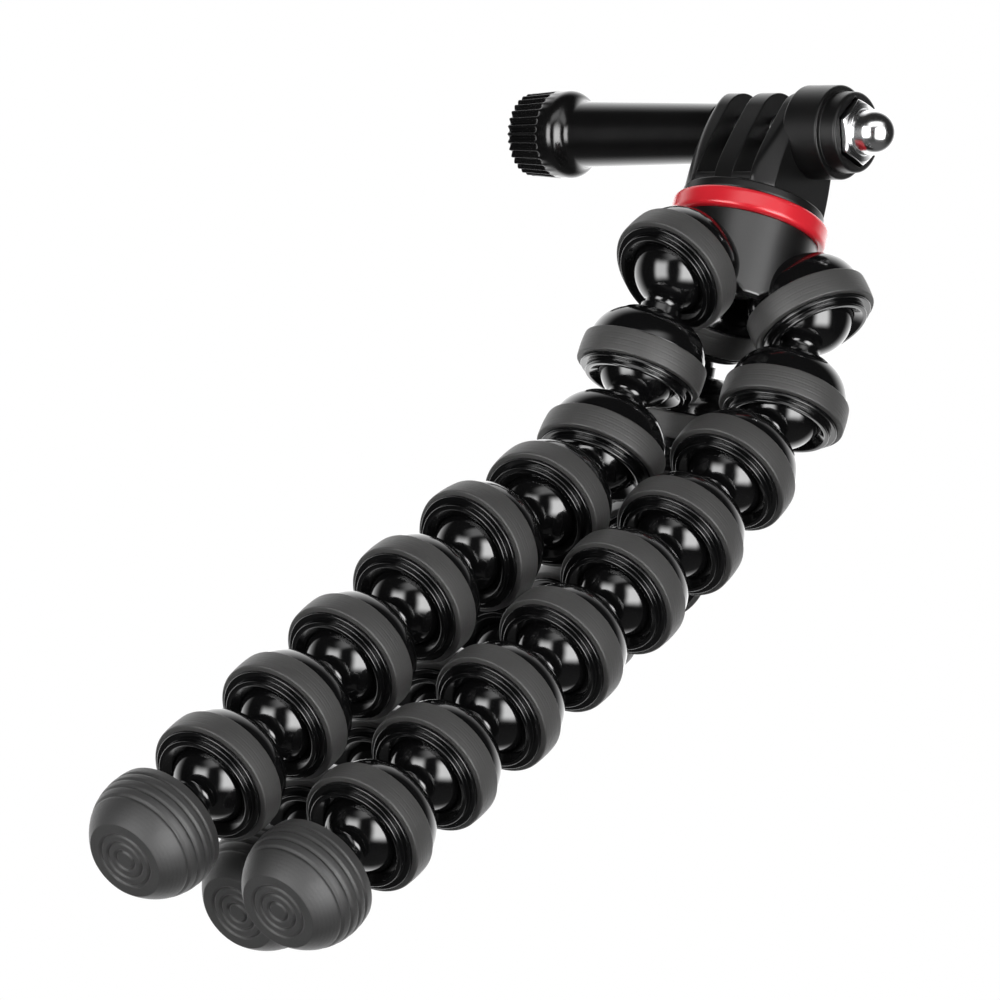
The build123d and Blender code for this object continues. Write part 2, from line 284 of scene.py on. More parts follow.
def bowed(start, end, share, count=14):
    # chord point plus 4 t (1 - t) times the share of the chord, to its right
    t = np.linspace(0, 1, count)[:, None]
    start, end = np.array(start, float), np.array(end, float)
    chord = end - start
    right = np.array([chord[1], -chord[0]])
    points = start + chord * t + right * (4 * t * (1 - t) * share)
    return np.concatenate([points, 0 * t], 1)


def rounded(*parts, closed=False, steps=5, support=0.07):
    # Corners are (r, z, cut). Each is cut back along its two sides by its cut, and
    # (1-t)^2 A + 2 t (1-t) C + t^2 B joins the cuts; a support point stands
    # beyond each cut, so that the flat sides stay flat when shaded.
    table = np.concatenate([np.atleast_2d(np.array(part, float)) for part in parts])
    keep = np.ones(len(table), bool)
    keep[1:] = np.hypot(*(table[1:, :2] - table[:-1, :2]).T) > 1e-6
    table = table[keep]
    corner, cut = table[:, :2], table[:, 2:]
    back, ahead = np.roll(corner, 1, 0) - corner, np.roll(corner, -1, 0) - corner
    backRun = np.linalg.norm(back, axis=1, keepdims=True)
    aheadRun = np.linalg.norm(ahead, axis=1, keepdims=True)
    reach = np.minimum(cut, 0.42 * np.minimum(backRun, aheadRun))
    if not closed:
        reach[[0, -1]] = 0
    beyond = np.where(reach > 0, np.minimum(support, 0.05 * np.minimum(backRun, aheadRun)), 0)
    start, end = corner + back / backRun * reach, corner + ahead / aheadRun * reach
    t = np.linspace(0, 1, steps)[None, :, None]
    curve = (1 - t) ** 2 * start[:, None] + 2 * t * (1 - t) * corner[:, None] + t**2 * end[:, None]
    first = (corner + back / backRun * (reach + beyond))[:, None]
    last = (corner + ahead / aheadRun * (reach + beyond))[:, None]
    line = np.concatenate([first, curve, last], 1).reshape(-1, 2)
    keep = np.ones(len(line), bool)
    keep[1:] = np.hypot(*(line[1:] - line[:-1]).T) > 1e-5
    return line[keep]


def turned(outline, place, segments):
    # centre + r cos a X + r sin a Y + z Z, for r and z along the outline
    centre, first, second, third = place
    angle = np.linspace(0, 2 * np.pi, segments, endpoint=False)
    spoke = np.cos(angle)[:, None] * first + np.sin(angle)[:, None] * second
    radius, height = outline[:, 0], outline[:, 1]
    points = centre + radius[:, None, None] * spoke + height[:, None, None] * third
    return points, np.repeat(height[:, None], segments, 1)


def polar(radius, height, place):
    # the same with a radius for each height and angle: radius is rows by columns
    centre, first, second, third = place
    angle = np.linspace(0, 2 * np.pi, radius.shape[1], endpoint=False)
    spoke = np.cos(angle)[:, None] * first + np.sin(angle)[:, None] * second
    points = centre + radius[:, :, None] * spoke + (height + 0 * radius)[:, :, None] * third
    return points, height + 0 * radius


def gridFaces(rows, columns, wrap):
    # quads between neighbouring rows; columns always close, rows close if wrapped
    index = np.arange(rows * columns).reshape(rows, columns)
    across = np.roll(index, -1, 1)
    if wrap:
        return np.stack([index, across, np.roll(across, -1, 0), np.roll(index, -1, 0)], -1).reshape(-1, 4)
    return np.stack([index[:-1], across[:-1], across[1:], index[1:]], -1).reshape(-1, 4)


def closeGrid(points, along):
    # A grid whose end rows lie on points gets one vertex there and a fan round it.
    ends = [np.ptp(points[row], axis=0).max() < 1e-6 for row in (0, -1)]
    if not any(ends):
        return points.reshape(-1, 3), along.ravel(), gridFaces(*points.shape[:2], True), np.zeros((0, 3), int)
    middle = points[1:-1]
    rows, columns = middle.shape[:2]
    quads = gridFaces(rows, columns, False)
    index = np.arange(columns)
    low, high = rows * columns, rows * columns + 1
    top = (rows - 1) * columns + index
    fans = np.concatenate([
        np.stack([0 * index + low, np.roll(index, -1), index], 1),
        np.stack([0 * index + high, top, np.roll(top, -1)], 1),
    ])
    vertices = np.concatenate([middle.reshape(-1, 3), points[0, :1], points[-1, :1]])
    return vertices, np.concatenate([along[1:-1].ravel(), along[0, :1], along[-1, :1]]), quads, fans


def signedVolume(points, quads, fans):
    # a sixth of the sum of a . (b x c) over the triangles
    triangles = np.concatenate([quads[:, [0, 1, 2]], quads[:, [0, 2, 3]], fans])
    a, b, c = (points[triangles[:, side]] for side in range(3))
    return np.einsum("ij,ij->i", a, np.cross(b, c)).sum() / 6


def makePiece(name, grids, finish, body, *nodes):
    # One object of one or more closed grids, in metres, that rides on a body and
    # stands for its CAD nodes. Faces that would point inwards are turned round.
    allPoints, allAlong, allQuads, allFans, offset = [], [], [], [], 0
    for grid in grids:
        points, along, quads, fans = closeGrid(*grid)
        if signedVolume(points - points.mean(0), quads, fans) < 0:
            quads, fans = quads[:, ::-1], fans[:, ::-1]
        allPoints.append(points * mm)
        allAlong.append(along)
        allQuads.append(quads + offset)
        allFans.append(fans + offset)
        offset += len(points)
    points, quads, fans = np.concatenate(allPoints), np.concatenate(allQuads), np.concatenate(allFans)
    mesh = bpy.data.meshes.new(name)
    mesh.vertices.add(len(points))
    mesh.vertices.foreach_set("co", points.astype(np.float32).ravel())
    mesh.loops.add(quads.size + fans.size)
    mesh.loops.foreach_set("vertex_index", np.concatenate([quads.ravel(), fans.ravel()]).astype(np.int32))
    mesh.polygons.add(len(quads) + len(fans))
    starts = np.concatenate([4 * np.arange(len(quads)), quads.size + 3 * np.arange(len(fans))])
    mesh.polygons.foreach_set("loop_start", starts.astype(np.int32))
    mesh.update(calc_edges=True)
    mesh.shade_smooth()
    heights = mesh.attributes.new("along", "FLOAT", "POINT")
    heights.data.foreach_set("value", np.concatenate(allAlong).astype(np.float32))
    mesh.materials.append(finishes[finish])
    piece = bpy.data.objects.new(name, mesh)
    bpy.context.scene.collection.objects.link(piece)
    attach(piece, body)
    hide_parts(*nodes)
    return piece


joint = {
    "ball": 5.8, "play": 0.1, "mouthDepth": 2.25, "mouthFlare": 1.05,
    "neck": 2.5, "neckEnd": 6.0, "collar": 2.9, "collarEnd": 7.4, "shoulder": 4.2,
    "groove": 7.4, "domeEdge": 8.2, "ringBack": -1.9, "ringFront": 1.7,
    "lip": 8.0, "lipFront": 2.3, "rim": 7.1, "rimFront": 3.1, "pitch": 14.6, "domeBulge": 0.16,
    "segments": 96,
}
socketRadius = joint["ball"] + joint["play"]
mouthRadius = np.sqrt(socketRadius**2 - joint["mouthDepth"] ** 2)


def ballAndNeck(base):
    # ball, waist, collar and shoulder, from the ball's pole on
    waist = np.degrees(np.arccos(joint["neck"] / joint["ball"]))
    return [
        arc(base, joint["ball"], -90, waist, 44),
        [
            (joint["neck"], base + joint["neckEnd"], 0.1),
            (joint["collar"], base + joint["neckEnd"], 0.16),
            (joint["collar"], base + joint["collarEnd"], 0.25),
            (joint["shoulder"], base + joint["collarEnd"], 0.22),
        ],
    ]


def domeToSocket():
    # dome, groove, lip, rim and mouth, then the ball's space to its pole
    back = joint["collarEnd"] - joint["pitch"]
    mouth = np.degrees(np.arcsin(joint["mouthDepth"] / socketRadius))
    return [
        bowed((joint["shoulder"], back), (joint["domeEdge"], joint["ringBack"] - 0.02), joint["domeBulge"])[1:-1],
        [
            (joint["domeEdge"], joint["ringBack"] - 0.02, 0.18),
            (joint["groove"], joint["ringBack"], 0.05),
            (joint["groove"], joint["ringFront"], 0.05),
            (joint["lip"], joint["ringFront"], 0.15),
            (joint["lip"], joint["lipFront"], 0.16),
            (joint["rim"], joint["lipFront"], 0.1),
            (joint["rim"], joint["rimFront"], 0.16),
            (mouthRadius + joint["mouthFlare"], joint["rimFront"], 0.14),
            (mouthRadius, joint["mouthDepth"], 0.1),
        ],
        arc(0, socketRadius, mouth, -90, 26),
    ]


linkOutline = rounded(*ballAndNeck(-joint["pitch"]), *domeToSocket())
socketOutline = rounded(
    [(0, joint["collarEnd"] - joint["pitch"], 0)], ballAndNeck(-joint["pitch"])[1][-1:], *domeToSocket(),
)

gripRing = {
    "inner": 7.42, "outer": 8.8, "back": -1.9, "front": 1.7, "edge": 0.45,
    "crown": 0.1,        # how much lower the band is at its edges
    "grooves": (-0.9, -0.1, 0.7), "grooveDepth": 0.01, "grooveWidth": 0.16,
    "segments": 120,
}


def ringOutline():
    # flat band with rounded edges, lowered by the crown times (z / half width)^2
    # and by three narrow bell-shaped grooves
    half = (gripRing["front"] - gripRing["back"]) / 2
    middle = (gripRing["front"] + gripRing["back"]) / 2
    height = np.linspace(gripRing["back"] + gripRing["edge"] + 0.1, gripRing["front"] - gripRing["edge"] - 0.1, 46)
    band = np.stack([0 * height + gripRing["outer"], height, 0 * height], 1)
    line = rounded(
        [(gripRing["inner"], gripRing["back"], 0.05), (gripRing["outer"], gripRing["back"], gripRing["edge"])],
        band,
        [(gripRing["outer"], gripRing["front"], gripRing["edge"]), (gripRing["inner"], gripRing["front"], 0.05)],
        closed=True, steps=7,
    )
    outer = line[:, 0] > gripRing["outer"] - gripRing["edge"]
    fall = gripRing["crown"] * ((line[:, 1] - middle) / half) ** 2
    for groove in gripRing["grooves"]:
        fall = fall + gripRing["grooveDepth"] * np.exp(-(((line[:, 1] - groove) / gripRing["grooveWidth"]) ** 2) * 4)
    line[:, 0] -= np.where(outer, fall, 0)
    return line


bandOutline = ringOutline()


def jointCentre(leg, number):
    return np.array(joints[f"{leg}_leg_ball_{number}"]["pos_m"]) / mm


for leg in legs:
    for number in range(1, linkCount + 1):
        ballCentre, socketCentre = jointCentre(leg, number), jointCentre(leg, number + 1)
        place = placeAlong(socketCentre, socketCentre - ballCentre)
        body = f"{leg}_leg_link_{number}"
        makePiece(f"{leg}Link{number}", [turned(linkOutline, place, joint["segments"])], "gloss", body, body)
        makePiece(f"{leg}GripRing{number}", [turned(bandOutline, place, gripRing["segments"])], "rubber",
                  body, f"{leg}_leg_grip_ring_{number}")
print("leg links and grip rings made")

foot = {
    "length": 20.0, "stemStart": 10.4, "stem": 5.2, "stemEnd": 17.6, "fit": 0.02, "heel": 6.6, "widest": 8.2,
    "bulgeHeight": 9.0, "tip": 5.4, "heelShare": 0.08, "tipShare": 0.14, "segments": 128,
    "grooves": (12.6, 14.0, 15.4, 16.8), "grooveDepth": 0.22, "grooveWidth": 0.3,
    "treads": (1.4, 2.6, 3.8), "treadDepth": 0.25,
}


def footOutline():
    # heel, bulge and flat tip, lowered by bell-shaped grooves round the side and
    # by rings of tread in the tip
    wide = foot["length"] - foot["bulgeHeight"]
    pocket = foot["stemEnd"] + foot["fit"]
    tread = np.linspace(foot["tip"] - 0.3, 0.02, 60)
    line = rounded(
        [
            (0, pocket, 0), (foot["stem"] + foot["fit"], pocket, 0.05),
            (foot["stem"] + foot["fit"], foot["stemStart"], 0.1),
        ],
        [(foot["heel"], foot["stemStart"], 0.3)],
        bowed((foot["heel"], foot["stemStart"] + 0.01), (foot["widest"], wide), foot["heelShare"], 8)[1:-1],
        [(foot["widest"], wide, 0.25)],
        bowed((foot["widest"], wide), (foot["tip"], foot["length"]), foot["tipShare"], 60)[1:-1],
        [(foot["tip"], foot["length"], 0.3)],
        np.stack([tread, 0 * tread + foot["length"], 0 * tread], 1),
        [(0, foot["length"], 0)],
    )
    side = (line[:, 0] > foot["stem"] + 0.6) & (line[:, 1] > wide)
    for groove in foot["grooves"]:
        bell = np.exp(-(((line[:, 1] - groove) / foot["grooveWidth"]) ** 2) * 3)
        line[:, 0] -= np.where(side, foot["grooveDepth"] * bell, 0)
    flat = line[:, 1] > foot["length"] - 0.01
    for ring in foot["treads"]:
        bell = np.exp(-(((line[:, 0] - ring) / foot["grooveWidth"]) ** 2) * 3)
        line[:, 1] -= np.where(flat, foot["treadDepth"] * bell, 0)
    return line


stemOutline = rounded(
    *ballAndNeck(0),
    [(foot["stem"], foot["stemStart"], 0.2), (foot["stem"], foot["stemEnd"], 0.2), (0, foot["stemEnd"], 0)],
)
for leg in legs:
    last = jointCentre(leg, linkCount + 1)
    tip = np.array(mounts[f"{leg}_foot_tip"]["pos_m"]) / mm
    place = placeAlong(last, tip - last)
    body = f"{leg}_leg_foot"
    makePiece(f"{leg}FootStem", [turned(stemOutline, place, joint["segments"])], "gloss", body, body)
    makePiece(f"{leg}Foot", [turned(footOutline(), place, foot["segments"])], "foot", body, body)
print("feet made")

hub = {
    "radius": 10.0, "top": -15.1, "height": 11.4, "splay": 36, "roomRadius": 9.3, "roomBack": -2.4,
    "screwRadius": 3.1, "screwSeat": -21.3, "round": 0.28, "centre": -18.2,
    "columns": 360, "lowRows": 76, "sideRows": 110, "topRows": 10, "lowTilt": -36, "topTilt": 20,
    "steps": 90, "stride": 0.8,
}


def socketPlace(leg):
    # a hub socket points outwards from the head's axis and down
    centre = jointCentre(leg, 1)
    out = unit(np.array([centre[0], centre[1], 0]))
    splay = np.radians(hub["splay"])
    return placeAlong(centre, out * np.sin(splay) - np.array([0, 0, np.cos(splay)]))


def softMax(first, second, blend):
    # max(a, b) with its edge rounded over the blend: the larger plus
    # max(blend - |a - b|, 0)^2 / (4 blend), so that it never cuts deeper
    gap = np.maximum(blend - np.abs(first - second), 0)
    return np.maximum(first, second) + gap**2 / (4 * blend)


def hubDistance(points):
    # how far a point is outside the drum with its three rooms cut out
    across = np.hypot(points[..., 0], points[..., 1])
    bottom = hub["top"] - hub["height"]
    far = softMax(across - hub["radius"], bottom - points[..., 2], hub["round"])
    far = np.maximum(far, points[..., 2] - hub["top"])
    for leg in legs:
        centre, _, _, down = socketPlace(leg)
        shift = points - centre
        depth = shift @ down
        wide = np.linalg.norm(shift - depth[..., None] * down, axis=-1)
        far = softMax(far, -np.maximum(wide - hub["roomRadius"], hub["roomBack"] - depth), hub["round"])
    return softMax(far, -np.maximum(across - hub["screwRadius"], points[..., 2] - hub["screwSeat"]), hub["round"])


def hubBody():
    # From a point inside, each direction's ray runs out by its distance to the
    # surface, again and again, until it is there.
    tilt = np.radians(np.concatenate([
        np.linspace(-90, hub["lowTilt"], hub["lowRows"], endpoint=False),
        np.linspace(hub["lowTilt"], hub["topTilt"], hub["sideRows"], endpoint=False),
        np.linspace(hub["topTilt"], 90, hub["topRows"]),
    ]))
    angle = np.linspace(0, 2 * np.pi, hub["columns"], endpoint=False)
    ray = np.stack([
        np.cos(tilt)[:, None] * np.cos(angle), np.cos(tilt)[:, None] * np.sin(angle),
        np.sin(tilt)[:, None] + 0 * angle,
    ], -1)
    ray[[0, -1], :, :2] = 0
    centre = np.array([0, 0, hub["centre"]])
    run = np.zeros(ray.shape[:2])
    for _ in range(hub["steps"]):
        run = run - hub["stride"] * hubDistance(centre + ray * run[..., None])
    points = centre + ray * run[..., None]
    return points, points[..., 2]


makePiece("hubBody", [hubBody()], "hub", "head", "hub")
for leg in legs:
    place = socketPlace(leg)
    makePiece(f"{leg}HubSocket", [turned(socketOutline, place, joint["segments"])], "gloss", "head", "hub")
    makePiece(f"{leg}HubGripRing", [turned(bandOutline, place, gripRing["segments"])], "rubber",
              "head", "hub_grip_rings")
print("hub made")

upright = (np.zeros(3), np.array([1.0, 0, 0]), np.array([0, 1.0, 0]), np.array([0, 0, 1.0]))
sideways = (np.zeros(3), np.array([0, 1.0, 0]), np.array([0, 0, 1.0]), np.array([1.0, 0, 0]))


def hexRadius(flats, columns):
    # flats / 2 over the cosine of the angle from the nearest flat's middle
    angle = np.degrees(np.linspace(0, 2 * np.pi, columns, endpoint=False)) % 60 - 30
    return flats / 2 / np.cos(np.radians(angle))


redRing = {"inner": 6.55, "outer": 10.9, "bottom": -15.1, "top": -12.2, "round": 0.7, "segments": 160}
ringLine = rounded(
    [
        (redRing["inner"], redRing["bottom"], 0.1), (redRing["outer"], redRing["bottom"], redRing["round"]),
        (redRing["outer"], redRing["top"], redRing["round"]), (redRing["inner"], redRing["top"], 0.1),
    ],
    closed=True, steps=8,
)
makePiece("redRing", [turned(ringLine, upright, redRing["segments"])], "red", "head", "red_ring")

hubScrew = {
    "shank": 2.0, "head": 3.0, "seat": -21.3, "headHeight": 2.4, "length": 9.6, "key": 3.0, "keyDepth": 1.2,
    "columns": 96,
}


def screwGrid():
    # turned screw with a hexagonal key socket in its head, closed at both poles
    low = hubScrew["seat"] - hubScrew["headHeight"]
    line = rounded([
        (0, low + hubScrew["keyDepth"], 0), (hubScrew["key"] / 2, low + hubScrew["keyDepth"], 0.05),
        (hubScrew["key"] / 2, low, 0.1),
        (hubScrew["head"], low, 0.3), (hubScrew["head"], hubScrew["seat"], 0.15),
        (hubScrew["shank"], hubScrew["seat"], 0.1), (hubScrew["shank"], hubScrew["seat"] + hubScrew["length"], 0.2),
        (0, hubScrew["seat"] + hubScrew["length"], 0),
    ])
    spin = hexRadius(hubScrew["key"], hubScrew["columns"]) / (hubScrew["key"] / 2)
    keyed = (line[:, 1] < low + hubScrew["keyDepth"] + 0.05) & (line[:, 0] < hubScrew["key"] / 2 + 0.3)
    radius = line[:, :1] * np.where(keyed[:, None], spin, 1)
    return polar(radius, line[:, 1:], upright)


makePiece("hubScrew", [screwGrid()], "steel", "head", "hub_screw")

mount = {
    "width": 15.0, "finger": 3.0, "slot": 3.0, "top": 5.5, "bore": 2.6, "half": 8.4, "lean": 20.5, "bend": 2.6,
    "crownFoot": 9.8, "crownTop": 7.3, "crownShare": 0.042, "crownBlend": 0.5, "root": 1.4, "edge": 0.35,
    "flange": 9.9, "flangeTop": -10.7, "flangeBottom": -12.2, "spigot": 6.5, "spigotBottom": -17.3,
    "boss": 6.5, "bossStart": 6.0, "bossEnd": 11.9, "collar": 5.55, "collarEnd": 14.4, "recess": 11.8,
    "recessFlats": 8.2, "columns": 240,
}


def flankReach(angle):
    # Distance from the bore to a finger's outline at each angle: the round top,
    # then a leaning flank that touches it, an upright wall and a flat foot.
    side, up = np.maximum(np.abs(np.cos(angle)), 1e-6), np.sin(angle)
    lean = np.radians(mount["lean"])
    level = side * np.cos(lean) + up * np.sin(lean)
    flank = mount["top"] / np.maximum(level, 0.05)
    reach = -softMax(-flank, -mount["half"] / side, mount["bend"])
    foot = (mount["flangeTop"] - 0.3) / np.minimum(up, -1e-6)
    return np.where(up >= side * np.tan(lean), mount["top"], np.minimum(reach, foot))


def crownRadius(height):
    # the turned outline that trims the outer fingers, bowed out from foot to top
    line = bowed((mount["crownFoot"], mount["flangeTop"]), (mount["crownTop"], mount["top"]), mount["crownShare"], 60)
    return np.interp(height, line[:, 1], line[:, 0])


def crownReach(angle, across):
    # halving finds where a ray from the bore leaves the crown, at each x
    near, far = 0 * (angle + across), 0 * (angle + across) + 16.0
    for _ in range(26):
        half = (near + far) / 2
        inside = across**2 + (half * np.cos(angle)) ** 2 < crownRadius(half * np.sin(angle)) ** 2
        near, far = np.where(inside, half, near), np.where(inside, far, half)
    return near


def fingerGrid(middle):
    # the section's inner half is measured from the bore and its outer half from
    # the outline, so that one closed section serves at every angle
    half, far = mount["finger"] / 2, 20.0
    across = np.linspace(-half + mount["edge"] + 0.1, half - mount["edge"] - 0.1, 12)
    section = rounded(
        [(0, -half, 0.12), (far, -half, mount["edge"])],
        np.stack([0 * across + far, across, 0 * across], 1),
        [(far, half, mount["edge"]), (0, half, 0.12)],
        closed=True, steps=6, support=0.1,
    )
    offset, place = section[:, :1], section[:, 1:] + middle
    angle = np.linspace(0, 2 * np.pi, mount["columns"], endpoint=False)
    reach = -softMax(-flankReach(angle) + 0 * place, -crownReach(angle, place), mount["crownBlend"])
    radius = np.where(offset < far / 2, mount["bore"] + offset, reach - (far - offset))
    return polar(radius, place, sideways)


def rootGrid():
    # the solid foot of the three fingers: a drum whose radius is the least of the
    # crown's and of the block's flat sides, just inside the fingers' faces
    angle = np.linspace(0, 2 * np.pi, mount["columns"], endpoint=False)
    side, front = np.maximum(np.abs(np.cos(angle)), 1e-6), np.maximum(np.abs(np.sin(angle)), 1e-6)
    outline = np.minimum(np.minimum(mount["width"] / 2 / side, mount["half"] / front), mount["crownFoot"]) - 0.03
    low, high = mount["flangeTop"] - 0.3, mount["flangeTop"] + mount["root"]
    rows = np.array([(0, low), (1, low), (1, high - 0.3), (1, high - 0.2), (0.985, high), (0.97, high), (0, high)])
    return polar(rows[:, :1] * outline, rows[:, 1:], upright)


def bossGrid():
    # round boss in two steps with a hexagonal recess: the section's corner at
    # the hexagon follows it, the rest is turned
    inradius = mount["recessFlats"] / 2
    section = rounded(
        [
            (mount["bore"], mount["bossStart"], 0.05), (mount["boss"] - 0.5, mount["bossStart"], 0.05),
            (mount["boss"], mount["bossStart"] + 0.5, 0.1), (mount["boss"], mount["bossEnd"], 0.35),
            (mount["collar"] + 0.1, mount["bossEnd"], 0.15), (mount["collar"], mount["collarEnd"], 0.45),
            (inradius + 0.1, mount["collarEnd"], 0.2),
            (inradius, mount["recess"], 0.1), (mount["bore"], mount["recess"], 0.1),
        ],
        closed=True, steps=7,
    )
    offset = section[:, :1]
    spin = hexRadius(mount["recessFlats"], mount["columns"]) - inradius
    near = np.clip(1.5 - np.abs(offset - inradius) / 0.5, 0, 1)
    return polar(offset + near * spin, section[:, 1:], sideways)


flangeLine = rounded([
    (0, mount["spigotBottom"], 0), (mount["spigot"], mount["spigotBottom"], 0.2),
    (mount["spigot"], mount["flangeBottom"], 0.05), (mount["flange"], mount["flangeBottom"], 0.5),
    (mount["flange"], mount["flangeTop"], 0.25), (0, mount["flangeTop"], 0),
], steps=7)
pitch = mount["finger"] + mount["slot"]
makePiece(
    "cameraMount",
    [fingerGrid(-pitch), fingerGrid(0), fingerGrid(pitch), rootGrid(), bossGrid(),
     turned(flangeLine, upright, mount["columns"])],
    "satin", "head", "camera_mount",
)
print("camera mount made")

nut = {
    "seat": 11.9, "flats": 8.0, "height": 3.4, "dome": 3.15, "length": 8.3, "chamfer": 30, "columns": 144,
}


def nutGrid():
    # hexagon cut by a chamfer cone at its outer end, then a cap on a barrel
    end = nut["seat"] + nut["height"]
    hexagon = hexRadius(nut["flats"], nut["columns"])[None]
    hexagon = hexagon - 0.06 * (hexagon / hexagon.max()) ** 20
    height = np.concatenate([
        [nut["seat"]], np.linspace(nut["seat"] + 0.15, end - 0.8, 4), np.linspace(end - 0.6, end, 14),
    ])
    cone = nut["flats"] / 2 - 0.05 + (end - height[:, None]) / np.tan(np.radians(nut["chamfer"]))
    body = -softMax(-hexagon, -cone, 0.12)
    body[0] -= 0.15
    capCentre = nut["seat"] + nut["length"] - nut["dome"]
    cap = rounded([(nut["dome"] + 0.2, end, 0), (nut["dome"], end + 0.12, 0.1)], arc(capCentre, nut["dome"], 0, 90, 34))
    radius = np.concatenate([0 * hexagon, body, cap[:, :1] + 0 * hexagon])
    along = np.concatenate([[nut["seat"]], height, cap[:, 1]])[:, None]
    return polar(radius, along, sideways)


makePiece("clampNut", [nutGrid()], "chrome", "head", "clamp_nut")

bolt = {
    "radius": 2.5, "start": -36.0, "end": 17.6, "threadStart": -2.0, "pitch": 0.8, "depth": 0.42,
    "step": 0.09, "point": 0.5, "columns": 64,
}


def boltGrid():
    # shank with a thread: the crest's radius less the depth times a rounded
    # sawtooth of (x / pitch - angle / turn), faded in at the thread's start
    height = np.concatenate([
        [bolt["start"]], np.linspace(bolt["start"] + 0.3, bolt["threadStart"], 8),
        np.arange(bolt["threadStart"] + bolt["step"], bolt["end"] - bolt["point"], bolt["step"]),
        np.linspace(bolt["end"] - 0.45, bolt["end"], 5),
    ])[:, None]
    turn = np.linspace(0, 1, bolt["columns"], endpoint=False)
    phase = (height / bolt["pitch"] - turn) % 1
    tooth = np.clip(np.abs(2 * phase - 1) * 1.35 - 0.15, 0, 1)
    fade = np.clip((height - bolt["threadStart"]) / bolt["pitch"], 0, 1)
    radius = bolt["radius"] - bolt["depth"] * tooth * fade
    radius = np.minimum(radius, bolt["radius"] - bolt["point"] + (bolt["end"] - height))
    radius[0] -= 0.3
    radius = np.concatenate([0 * radius[:1], radius, 0 * radius[:1]])
    return polar(radius, np.concatenate([height[:1], height, height[-1:]]), sideways)


makePiece("clampBolt", [boltGrid()], "steel", "clamp_bolt", "clamp_bolt")

knob = {
    "start": 7.8, "length": 33.4, "neck": 4.2, "barrel": 4.6, "cap": 6.15, "capEnd": 5.8, "capLength": 10.0,
    "shoulder": 3.0, "shoulderShare": 0.13, "band": 1.7, "ribs": 32, "ribDepth": 0.45, "ribSharp": 0.8, "ribFade": 0.35,
    "ribInner": 3.6, "ribOuter": 5.2, "endRound": 0.9, "columns": 384,
}


def knobGrid():
    # turned outline with a shoulder bowed in and then out, lowered by the rib
    # depth times a rounded wave of the angle along the ribbed part; x runs from
    # the fingers outwards
    start, end = knob["start"], knob["start"] + knob["length"]
    cap = end - knob["capLength"]
    bandStart, ribStart = cap + knob["shoulder"], cap + knob["shoulder"] + knob["band"]
    waist = ((knob["barrel"] + knob["cap"]) / 2, (cap + bandStart) / 2)
    ribbed = np.linspace(ribStart, end - knob["endRound"] - 0.2, 24)
    taper = np.interp(ribbed, (ribStart, end - knob["endRound"]), (knob["cap"], knob["capEnd"]))
    line = rounded(
        [(0, start, 0), (knob["neck"], start, 0.35)],
        bowed((knob["barrel"], cap), waist, -knob["shoulderShare"], 12),
        bowed(waist, (knob["cap"], bandStart), knob["shoulderShare"], 12)[1:],
        [(knob["cap"], ribStart - 0.3, 0)],
        np.stack([taper, ribbed, 0 * ribbed], 1),
        [(knob["capEnd"], end, knob["endRound"]), (0, end, 0)],
        steps=9,
    )
    turn = np.linspace(0, 2 * np.pi, knob["columns"], endpoint=False)
    valley = (0.5 - 0.5 * np.cos(knob["ribs"] * turn)) ** knob["ribSharp"]
    along = np.clip((line[:, 1:] - ribStart + 0.1) / knob["ribFade"], 0, 1)
    out = np.clip((line[:, :1] - knob["ribInner"]) / (knob["ribOuter"] - knob["ribInner"]), 0, 1)
    radius = line[:, :1] - knob["ribDepth"] * valley * along * out
    return polar(radius, -line[:, 1:], sideways)


makePiece("clampKnob", [knobGrid()], "knob", "clamp_knob", "clamp_knob")
print("clamp screw made")

view = {
    "right": (0.76604, 0.59169, 0.25116), "up": (0.0, -0.39073, 0.92050), "toward": (0.64279, -0.70514, -0.29932),
    "place": (0.6477, -0.8530, -0.3748),
    "focus": 3290.0,     # the photograph's focal length and window, in its pixels
    "aim": (190.0, -113.0),
    "window": 400.0,
}
right, up, toward = (np.array(view[key]) for key in ("right", "up", "toward"))


def facing(back, top):
    # a turn whose -Z looks against back, with top up
    back = unit(back)
    across = unit(np.cross(top, back))
    return Matrix(np.stack([across, np.cross(back, across), back], 1).tolist()).to_quaternion()


camera = bpy.data.objects.new("camera", bpy.data.cameras.new("camera"))
camera.location = view["place"]
camera.rotation_mode = "QUATERNION"
aim = right * (view["aim"][0] / view["focus"]) + up * (view["aim"][1] / view["focus"])
camera.rotation_quaternion = facing(toward - aim, up)
camera.data.sensor_width = 36
camera.data.lens = 36 * view["focus"] / view["window"]
camera.data.clip_start, camera.data.clip_end = 0.05, 50
bpy.context.scene.collection.objects.link(camera)
bpy.context.scene.camera = camera

